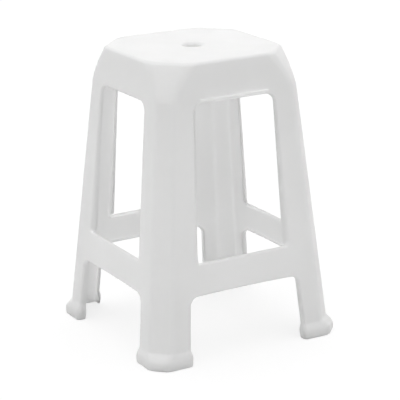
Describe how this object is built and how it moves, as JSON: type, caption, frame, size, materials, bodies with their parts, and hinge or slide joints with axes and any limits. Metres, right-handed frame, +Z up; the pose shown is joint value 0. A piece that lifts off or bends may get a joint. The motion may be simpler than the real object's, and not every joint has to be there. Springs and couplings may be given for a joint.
{
  "type": "stacking stool",
  "caption": "Stacking stool moulded in white plastic: square seat with cut corners and a finger hole, splayed hollow legs, footrest rails and flared feet.",
  "frame": {"origin": "on the floor, below the centre of the seat", "axes": "+Z up to the seat, -Y towards the front side, which has the bead on its apron, +X to the right seen from the front"},
  "size_m": [0.3334, 0.3334, 0.45],
  "materials": {
    "white_plastic": "satin"
  },
  "bodies": {
    "root": {"seat_panel": "white_plastic", "hole_collar": "white_plastic", "apron_front": "white_plastic", "footrest_rail_front": "white_plastic", "apron_right": "white_plastic", "footrest_rail_right": "white_plastic", "apron_back": "white_plastic", "footrest_rail_back": "white_plastic", "apron_left": "white_plastic", "footrest_rail_left": "white_plastic", "corner_leg_front_right": "white_plastic", "foot_front_right": "white_plastic", "corner_leg_back_right": "white_plastic", "foot_back_right": "white_plastic", "corner_leg_back_left": "white_plastic", "foot_back_left": "white_plastic", "corner_leg_front_left": "white_plastic", "foot_front_left": "white_plastic", "seat_rib_1": "white_plastic", "seat_rib_2": "white_plastic", "seat_rib_3": "white_plastic", "seat_rib_4": "white_plastic", "seat_rib_5": "white_plastic", "seat_rib_6": "white_plastic", "seat_rib_7": "white_plastic", "seat_rib_8": "white_plastic"}
  },
  "joints": []
}
